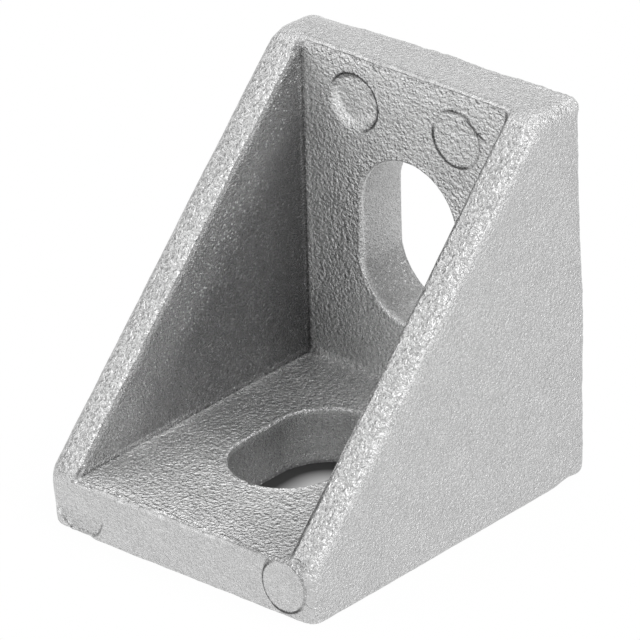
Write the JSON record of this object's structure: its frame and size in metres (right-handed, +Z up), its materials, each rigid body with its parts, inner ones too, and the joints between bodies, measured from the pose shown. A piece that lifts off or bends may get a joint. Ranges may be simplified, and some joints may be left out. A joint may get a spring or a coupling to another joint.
{
  "type": "t slot corner bracket",
  "caption": "Die-cast right-angle corner bracket for slotted aluminium framing, with a slotted screw hole in each plate and a triangular gusset along either side.",
  "frame": {"origin": "middle of the part's box on the plane of the base plate's underside", "axes": "+Z up, normal to the base plate; +Y towards the upright's outer face, so the open front faces -Y; X across both gussets"},
  "size_m": [0.017, 0.0201, 0.02],
  "materials": {
    "cast_aluminium": "shot-blasted raw die casting, matt light grey with a fine sparkling grain"
  },
  "bodies": {
    "root": {"corner_bracket": "cast_aluminium"}
  },
  "joints": []
}
